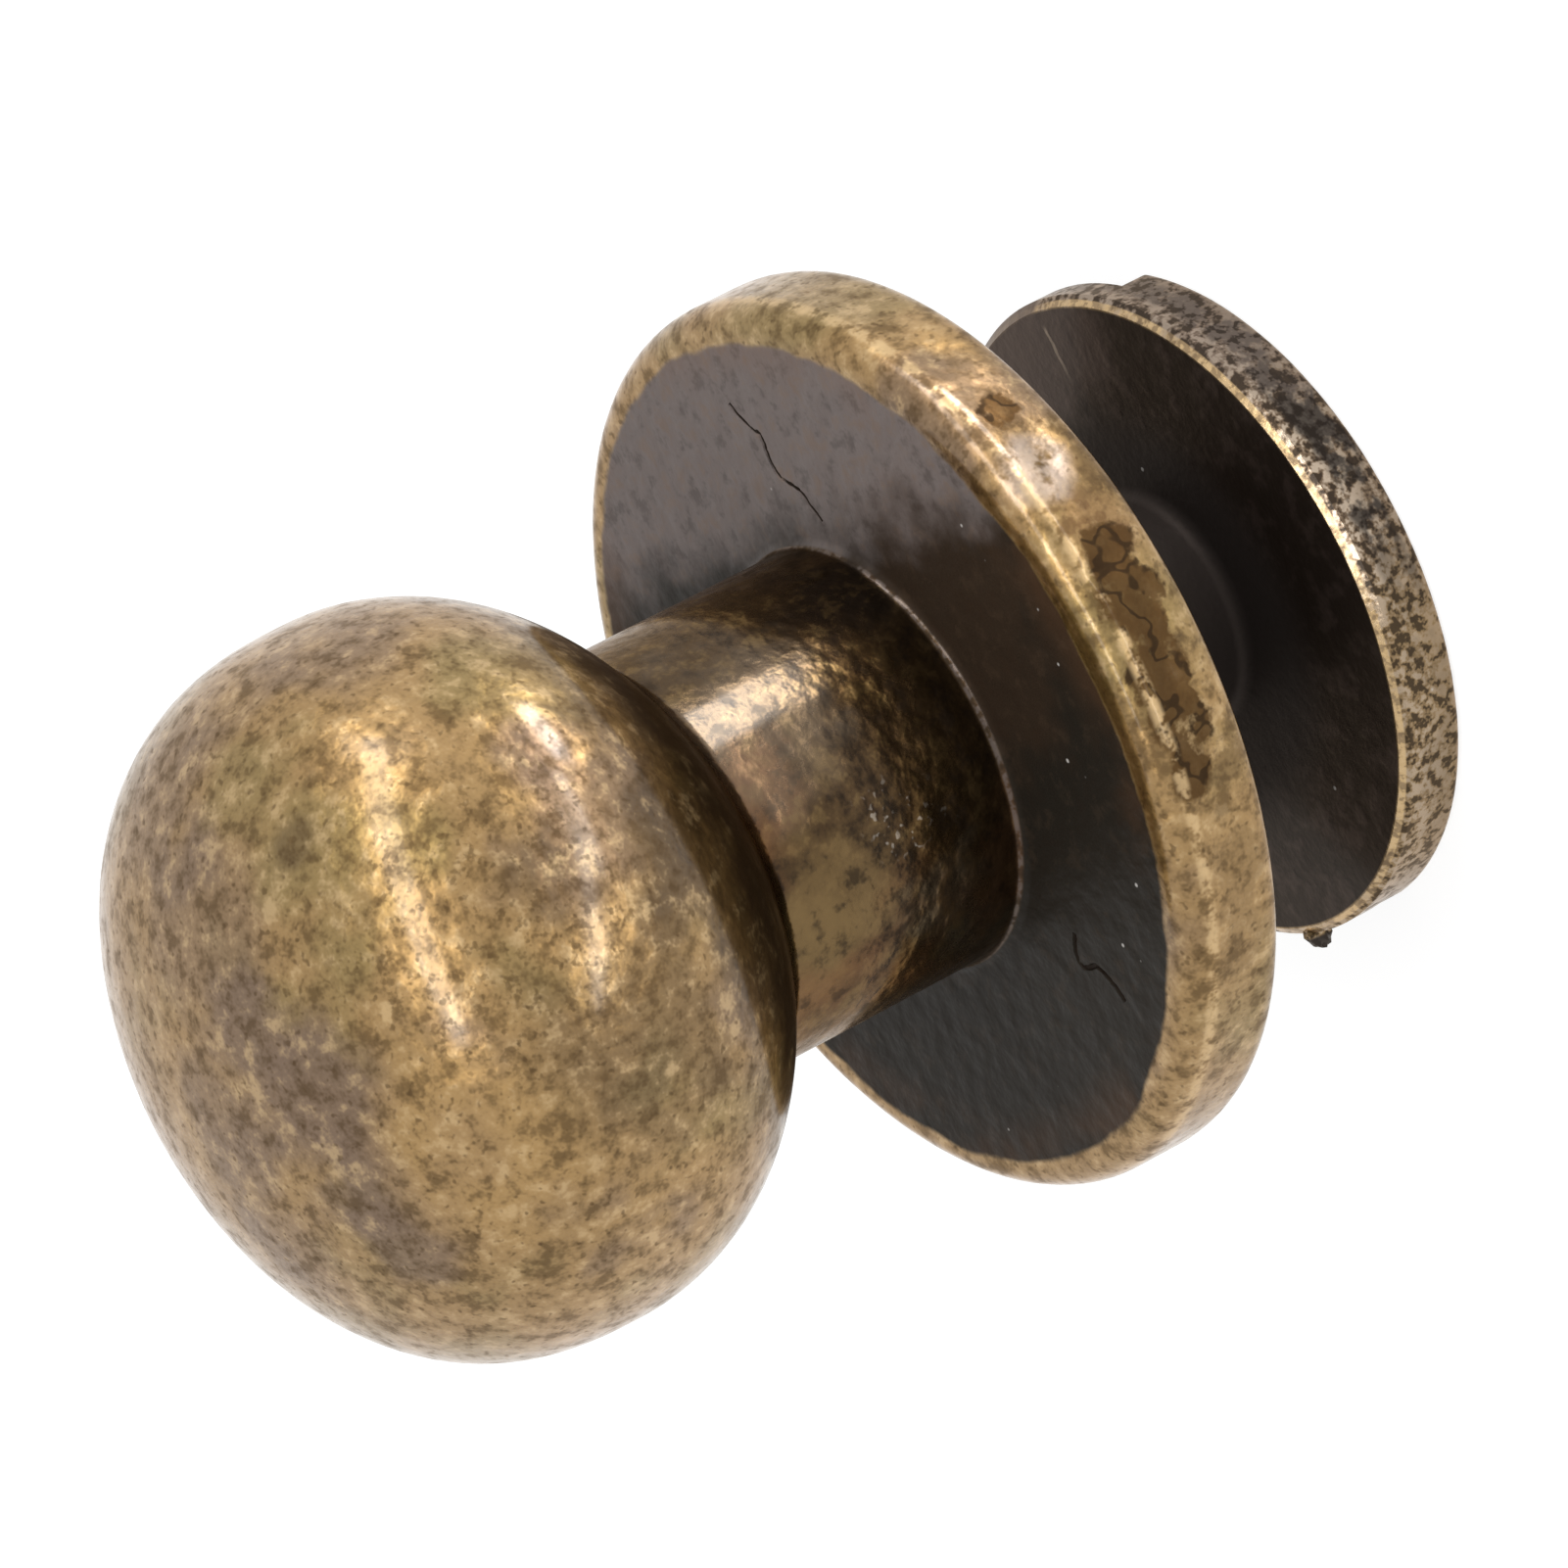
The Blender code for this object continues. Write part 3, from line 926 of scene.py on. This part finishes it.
def paint_flat(finish):
    """Paints the flange's flat and gives its mask."""
    height, tone = finish.z, finish.tone
    edge = finish.radius + finish.fray * 0.22
    inside = finish.between(edge, FLAT_EDGE + 0.04, FLAT_EDGE - 0.04)
    flat = inside * finish.within(height, 4.62, 4.72, 4.77, 4.80)
    # Painted light in part: the +X side is lighter, as if lit from there, as well as greyer skin.
    lit_grey_side = finish.between(finish.x + finish.fray * 1.5, 1.9, 2.9)
    skin = finish.mix("RGBA", finish.paint(GREEN_BLACK), finish.paint(LIT_GREY_SKIN), lit_grey_side)
    finish.layer(flat, skin, metal=0.0, rough=0.45, coat=0.0)
    finish.layer(flat * finish.between(tone, 0.50, 0.34) * 0.35, SOOT)
    finish.layer(flat * finish.between(tone, 0.51, 0.66) * (lit_grey_side * 0.25 + 0.06), MAUVE)
    brown = finish.between(edge, 3.9, 4.6) * finish.between(finish.broad, 0.44, 0.56)
    finish.layer(flat * brown * 0.16, RUST)
    finish.layer(flat * finish.near((1.2, -2.5, 4.75), 2.2) * 0.07, RUST)
    depth = finish.within(height, 4.6, 4.62, 4.722, 4.732)
    cracks = depth * finish.within(finish.radius, 2.5, 2.52, 4.48, 4.5)
    finish.layer(cracks, SOOT, metal=0.0, rough=0.6)
    return flat


print("flat of the flange out to radius", FLAT_EDGE, "mm")

# %% [markdown]
# ## The rim
#
# The rim is golden like the ball, with old stains in its hollows. A stain is a sum: the noises that mottle
# the brass, and a soft patch at each stain's place. Only where the sum is high enough the stain shows, so
# its outline follows the mottling. Thin dark folds run through the stains where another noise passes its
# middle value. The shoulder between rim and rounded edge is worn pale and carries a painted highlight, and
# a pale patch on the rim's side is a painted highlight as well.

# %% Stained rim
STAIN = (0.075, 0.038, 0.012)
# Painted highlight colour for a pale patch on the rim.
PAINTED_RIM_PALE = (0.50, 0.41, 0.35)

# Place and reach.
RIM_STAINS = (
    ((3.17, -3.87, 4.13), 0.32),
    ((1.60, -4.74, 4.12), 0.42),
    ((1.03, -4.89, 4.21), 0.55),
    ((0.21, -4.99, 4.23), 0.60),
    ((-0.39, -4.98, 4.22), 0.50),
    ((-0.90, -4.92, 4.33), 0.35),
)


def paint_rim(finish):
    height, tone = finish.z, finish.tone
    on_rim = finish.between(height, 4.74, 4.6) * finish.between(finish.radius, 4.5, 4.7)
    cloudy = finish.clouds(1.7, detail=5.0, seed=9.0, rough=0.65)
    handled = finish.near((1.5, -4.8, 4.1), 3.4, 0.2) * 0.4 + 0.25
    side = finish.between(height + finish.fray * 0.5, 4.5, 4.3) * on_rim * handled
    finish.layer(side * finish.between(cloudy, 0.48, 0.56) * 0.9, DARK_BRASS, rough=0.46, coat=0.4)
    finish.layer(side * finish.between(cloudy, 0.44, 0.34) * 0.6, PALE_BRASS, rough=0.32, coat=0.9)

    finish.layer(finish.near((1.74, -4.69, 4.12), 0.6) * on_rim * 0.3, RUST)
    # Painted highlight: a pale patch on the rim where a lamp's reflection falls.
    painted_rim_highlight = finish.near((2.52, -4.32, 4.26), 0.50, 0.35) * finish.between(tone, 0.30, 0.52)
    finish.layer(painted_rim_highlight * on_rim * 0.6, PAINTED_RIM_PALE, rough=0.36)
    spots = (cloudy + tone - 1) * 2.4
    for place, reach in RIM_STAINS:
        spots = finish.near(place, reach, 0.45) * 1.05 + spots
    stain = finish.between(spots, 0.38, 0.92) * on_rim
    finish.layer(stain * 0.92, STAIN, rough=0.42, coat=0.1)
    off_fold = finish.maths("ABSOLUTE", finish.clouds(2.4, detail=2.0, seed=21.0) - 0.5)
    folds = finish.between(off_fold, 0.035, 0.012) * stain
    finish.layer(folds * 0.65, SOOT, rough=0.5, coat=0.0)
    # Worn pale, and a painted highlight along the shoulder where the lamps reflect.
    shoulder_wear_and_highlight = finish.within(height, 4.36, 4.43, 4.49, 4.56) * on_rim
    finish.layer(shoulder_wear_and_highlight * finish.between(tone, 0.44, 0.56) * 0.6, PALE_BRASS, rough=0.3, coat=0.9)


print("stains on the rim:", len(RIM_STAINS))

# %% [markdown]
# ## The whole stud
#
# The stud's parts share four noises, so that the finish runs on from one to the next: broad clouds, a
# middle tone, a fine grain, and the one that frays the edges. Back and hole only get a plain dark skin, as
# nothing reaches them but soot. Last come a few specks of dust on the flat, and a low relief that keeps the
# reflections from being too smooth.

# %% Stud finish
DUST = (0.75, 0.72, 0.68)


def stud_finish():
    fray = {"per_mm": 1.6, "detail": 4.0}
    finish = Finish("antique_brass", MID_BRASS, metal=0.92, rough=0.31, coat=0.8, fray=fray)
    finish.broad = finish.clouds(0.55, detail=3.0, seed=3.0)
    finish.tone = finish.clouds(3.4, detail=3.2, seed=5.0, rough=0.7)
    finish.grain = finish.clouds(11.0, detail=1.0, seed=7.0)
    paint_golden_brass(finish)
    paint_neck(finish)
    flat = paint_flat(finish)
    paint_rim(finish)

    back = finish.between(finish.z, 3.62, 3.56) * finish.between(finish.radius, 4.9, 4.8)
    finish.layer(back, SOOT, metal=0.4, rough=0.5, coat=0.0)
    hole = finish.between(finish.radius, 1.75, 1.65) * finish.between(finish.z, 11.5, 11.2)
    finish.layer(hole, SOOT, metal=0.6, rough=0.45, coat=0.0)
    finish.layer(finish.specks(5.0, 0.16, 0.05) * flat * 0.55, DUST, metal=0.0, rough=0.8, coat=0.0)
    lumps = finish.clouds(3.0, detail=1.5, seed=15.0)
    return finish.finished(lumps * 0.035 + finish.tone * 0.008 + finish.grain * 0.004)


def dress(obj, material):
    obj.data.materials.clear()
    obj.data.materials.append(material)


dress(stud, stud_finish())
print("stud finish:", len(stud.data.materials[0].node_tree.nodes), "nodes")

# %% [markdown]
# ## The rim of the screw's head
#
# The screw was blackened with the stud but hardly rubbed. Only the rim of its head is bright: silvery
# flecks on brown, stronger high on the rim as a painted highlight, with a dark groove half way up, a golden
# stretch beside the stub at -X and a purple grey one at the other end of the slot. A thin pale lip runs
# round the edge of the face. The height and the radius find these bands, as the head is a disc.

# %% Rim of the head
RIM_BROWN = (0.16, 0.105, 0.06)
RIM_GOLD = (0.24, 0.155, 0.07)
SILVERED = (0.50, 0.40, 0.30)
PURPLE_GREY = (0.15, 0.115, 0.095)


def paint_head_rim(finish, radius):
    height, tone, fray = finish.z, finish.tone, finish.fray
    flecks = finish.clouds(8.0, detail=2.5, seed=14.0, rough=0.65)
    rim = finish.between(radius, 3.52, 3.56) * finish.between(height, 0.84, 0.8)
    uneven = height + fray * 0.5
    slot_end = finish.between(finish.x + fray * 1.5, 1.4, 2.4)
    stub_end = finish.between(finish.x + fray * 1.5, 0.5, -0.8)
    finish.layer(rim, RIM_BROWN, metal=0.9, rough=0.27, coat=0.5)
    finish.layer(rim * stub_end, RIM_GOLD, rough=0.3)
    # Silvery flecks, stronger high on the rim: partly real flecks, partly a painted highlight.
    flecks_with_painted_highlight = (finish.between(uneven, 0.20, 0.55) * 0.5 + 0.4) * (1 - stub_end * 0.4)
    finish.layer(rim * finish.between(flecks, 0.49, 0.58) * flecks_with_painted_highlight, SILVERED, rough=0.22)
    groove = finish.within(uneven, 0.10, 0.18, 0.48, 0.62) * (1 - stub_end * 0.8)
    finish.layer(rim * groove * finish.between(tone, 0.60, 0.48) * 0.9, SOOT, rough=0.3)
    finish.layer(rim * slot_end * 0.55, PURPLE_GREY, metal=0.8, rough=0.36, coat=0.2)
    sooty = finish.between(flecks, 0.50, 0.42)
    finish.layer(rim * sooty * 0.8, SOOT, rough=0.4, coat=0.1)
    lip = finish.between(height, 0.735, 0.75) * rim
    worn = finish.between(tone, 0.36, 0.54) * 0.6 + 0.2
    finish.layer(lip * worn, PALE_BRASS, metal=0.95, rough=0.26, coat=0.6)
    finish.layer(lip * sooty * 0.6, RIM_BROWN)


print("rim of the head:", HEAD_THICKNESS / MM, "mm high")

# %% [markdown]
# ## The whole screw
#
# The head's face and the shank are nearly black. The face has a purple brown sheen, duller towards the
# shank and darkened there with painted shade, and one fine pale line, a painted highlight of a crease from
# its casting. The head stands a little to one side of the axis, so its own radius is measured from its own
# middle.

# %% Screw finish
DEEP_BROWN = (0.030, 0.021, 0.016)
PURPLE_BROWN = (0.085, 0.060, 0.050)
# Painted shade colour for the face near the shank.
DULL_SHADE_DARK = (0.034, 0.027, 0.024)


def screw_finish():
    fray = {"per_mm": 2.2, "detail": 4.0, "seed": 1.0}
    finish = Finish("blackened_brass", DEEP_BROWN, metal=0.6, rough=0.42, coat=0.2, fray=fray)
    finish.tone = finish.clouds(2.6, detail=3.6, seed=11.0, rough=0.68)
    height = finish.z
    across = finish.x + HEAD_OFFSET / MM
    radius = finish.maths("SQRT", across * across + finish.y * finish.y)
    finish.layer(finish.between(finish.tone, 0.48, 0.64) * 0.5, PURPLE_BROWN)
    finish.layer(finish.near((3.1, -0.2, 0.8), 0.9) * 0.85, PURPLE_BROWN, rough=0.34)
    # Duller, and darkened with painted shade towards the shank.
    dull_and_painted_shade = finish.between(radius, 2.6, 1.8) * finish.between(height, 0.7, 0.75)
    finish.layer(dull_and_painted_shade, DULL_SHADE_DARK, metal=0.4, rough=0.55, coat=0.0)
    paint_head_rim(finish, radius)

    corner = finish.between(finish.y, 0.1, 0.3) * finish.between(finish.x, 2.0, 2.4)
    purple = corner * finish.between(height, 0.6, 0.7)
    finish.layer(purple * 0.9, PURPLE_BROWN, metal=0.6, rough=0.34, coat=0.2)
    on_face = finish.within(height, 0.78, 0.79, 0.82, 0.88)
    # Painted highlight: a thin pale line where a crease of the casting catches the light.
    off_crease = finish.maths("ABSOLUTE", finish.y - finish.x * 0.16 + 0.34 + finish.fray * 0.2)
    painted_crease_highlight = finish.between(off_crease, 0.035, 0.015) * finish.within(finish.x, 2.5, 2.9, 3.15, 3.25)
    finish.layer(on_face * painted_crease_highlight * 0.45, SILVERED)
    stub = finish.between(radius, 3.68, 3.72) * finish.between(finish.x, -3.5, -3.6)
    finish.layer(stub, DEEP_BROWN, metal=0.5, rough=0.4, coat=0.3)
    finish.layer(finish.specks(4.0, 0.12, 0.05) * 0.5, DUST, metal=0.0, rough=0.8, coat=0.0)
    grain = finish.clouds(9.0, detail=2.0, seed=12.0)
    return finish.finished(finish.tone * 0.014 + grain * 0.005)


dress(screw, screw_finish())
print("screw finish:", len(screw.data.materials[0].node_tree.nodes), "nodes")

# %% [markdown]
# ## Floor, backdrop and light
#
# The photograph was taken in a white tent. The world is that tent: rays that reach it straight from the
# camera, or by way of a shiny surface, see plain white, and all others get its light. The floor is a wide
# white sheet, lifted to white in the same way, which still shows the stud's soft shadow.

# %% Floor and tent
WHITE = (1.0, 1.0, 1.0, 1.0)
SHEET_COLOUR = (0.8, 0.8, 0.8, 1.0)
TENT_LIGHT = 0.85
FLOOR_SIDE = 2.0
FLOOR_CELLS = 8
FLOOR_DROP = 0.002 * MM
FLOOR_LIFT = 0.65
FLOOR_GLOW = 1.3


def seen_directly(nodes):
    """1 for rays that show a backdrop itself, straight to the camera or by a shiny or clear surface."""
    path = nodes.add("ShaderNodeLightPath").socket.node.outputs
    total = 0.0
    for name in ("Is Camera Ray", "Is Glossy Ray", "Is Transmission Ray"):
        total = Wire(nodes, path[name]) + total
    return nodes.maths("MINIMUM", total, 1.0)


def tent():
    world = bpy.data.worlds.new("tent")
    world.use_nodes = True
    world.node_tree.nodes.clear()
    nodes = Nodes(world.node_tree)
    light = nodes.add("ShaderNodeBackground", None, {"Color": WHITE, "Strength": TENT_LIGHT})
    white = nodes.add("ShaderNodeBackground", None, {"Color": WHITE, "Strength": 1.0})
    both = nodes.add("ShaderNodeMixShader", None, {0: seen_directly(nodes), 1: light, 2: white})
    world.node_tree.links.new(both.socket, nodes.tree.nodes.new("ShaderNodeOutputWorld").inputs[0])
    bpy.context.scene.world = world


def floor():
    shape = bmesh.new()
    bmesh.ops.create_grid(shape, x_segments=FLOOR_CELLS, y_segments=FLOOR_CELLS, size=FLOOR_SIDE / 2)
    bmesh.ops.translate(shape, verts=shape.verts, vec=(0, 0, -FLOOR_DROP))
    mesh = bpy.data.meshes.new("floor")
    shape.to_mesh(mesh)
    shape.free()
    obj = link("floor", mesh)
    material = bpy.data.materials.new("white_sheet")
    material.use_nodes = True
    material.node_tree.nodes.clear()
    nodes = Nodes(material.node_tree)
    sheet = nodes.add("ShaderNodeBsdfDiffuse", None, {"Color": SHEET_COLOUR})
    white = nodes.add("ShaderNodeEmission", None, {"Color": WHITE, "Strength": FLOOR_GLOW})
    share = seen_directly(nodes) * FLOOR_LIFT
    both = nodes.add("ShaderNodeMixShader", None, {0: share, 1: sheet, 2: white})
    nodes.tree.links.new(both.socket, nodes.tree.nodes.new("ShaderNodeOutputMaterial").inputs[0])
    dress(obj, material)
    return obj


bpy.context.scene.view_settings.view_transform = "Standard"
tent()
floor()
print("floor:", FLOOR_SIDE, "m wide")

# %% [markdown]
# ## Lamps
#
# The streaks on the ball are mirror images of the tent's brighter parts, and their course over the ball
# tells where these stood. A high strip with a broad, weaker end makes one streak. A low strip just above
# the floor, in two lengths, makes the other. A small patch near the stud makes the bright spot on the neck.
# Each lamp is given by its brightness to the eye, not its power, so a strip can be made longer without
# growing dimmer.

# %% Lamps
# Name, both ends of the middle line, width, the point the lamp faces and its radiance. Places in millimetres.
LAMPS = (
    ("strip_high", (-25, -70, 115), (129, -15, 12), 16, (0, 0, 10), 5.5),
    ("strip_end", (105, -24, 28), (129, -15, 12), 45, (0, 0, 10), 2.5),
    ("strip_low", (14, -14, 0.2), (3, -31, 0.2), 2.5, (0, -30, 50), 8.0),
    ("strip_far", (3, -31, 0.2), (-20, -66, 0.2), 6.0, (0, -30, 50), 8.0),
    ("patch_near", (13.2, -5.0, 0.2), (10.8, -10.0, 0.2), 3.5, (2, -2, 7), 14.0),
)


def strip_light(name, start, end, width, aim, radiance):
    """A long narrow lamp from start to end that faces the aim. Its power gives the radiance asked for."""
    data = bpy.data.lights.new(name, "AREA")
    data.shape = "RECTANGLE"
    start, end, aim = Vector(start) * MM, Vector(end) * MM, Vector(aim) * MM
    along = (end - start).normalized()
    centre = (start + end) / 2
    back = centre - aim
    back = (back - along * back.dot(along)).normalized()
    side = back.cross(along)
    data.size, data.size_y = (end - start).length, width * MM
    data.energy = radiance * math.pi * data.size * data.size_y
    lamp = bpy.data.objects.new(name, data)
    bpy.context.scene.collection.objects.link(lamp)
    lamp.rotation_mode = "QUATERNION"
    lamp.rotation_quaternion = Matrix((along, side, back)).transposed().to_quaternion()
    lamp.location = centre
    lamp.visible_camera = False
    return lamp


for lamp in LAMPS:
    strip_light(*lamp)
print("lamps:", len(LAMPS))

# %% [markdown]
# ## Riding on the bodies
#
# Each skin rides on the body of its solid and takes that solid's place, and the solid itself is hidden.

# %% Ride and finish
for piece, body, node, slot in (
    (stud, "stud", "ball_stud", "stud_brass"),
    (screw, "screw", "slotted_screw", "screw_brass"),
):
    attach(piece, body)
    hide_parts(node)
